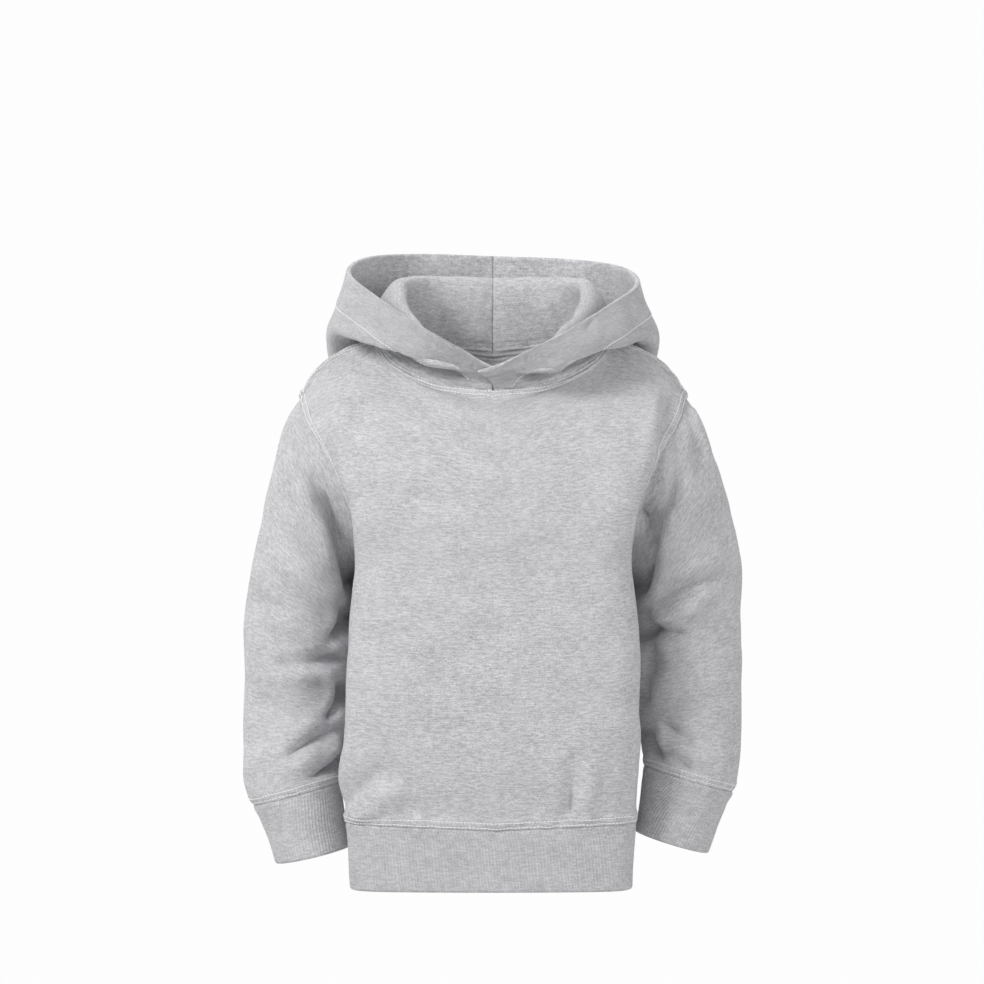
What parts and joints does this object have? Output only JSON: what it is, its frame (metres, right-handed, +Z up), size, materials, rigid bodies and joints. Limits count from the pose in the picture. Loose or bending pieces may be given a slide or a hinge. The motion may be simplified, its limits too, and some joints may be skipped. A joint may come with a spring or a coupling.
{
  "type": "toddler hoodie",
  "caption": "Hollow toddler pullover hoodie in grey sweatshirt cloth, worn shape with the hood down, ribbed cuffs and waistband, open neck, hem and sleeves.",
  "frame": {"origin": "the middle of the neck opening, where the wearer's neck and shoulders carry the hoodie", "axes": "+X to the viewer's right seen from the front, which is the wearer's left; -Y out of the garment's front; +Z up, from hem to neck"},
  "size_m": [0.3392, 0.23, 0.4314],
  "materials": {
    "sweatshirt_cloth": "light heather grey sweatshirt knit, matt with a soft nap",
    "rib_knit": "light heather grey fine rib knit, matt"
  },
  "bodies": {
    "root": {"front": "sweatshirt_cloth", "back": "sweatshirt_cloth", "sleeve_left": "sweatshirt_cloth", "sleeve_right": "sweatshirt_cloth", "hood_left": "sweatshirt_cloth", "hood_right": "sweatshirt_cloth", "waistband": "rib_knit", "cuff_left": "rib_knit", "cuff_right": "rib_knit"}
  },
  "joints": []
}
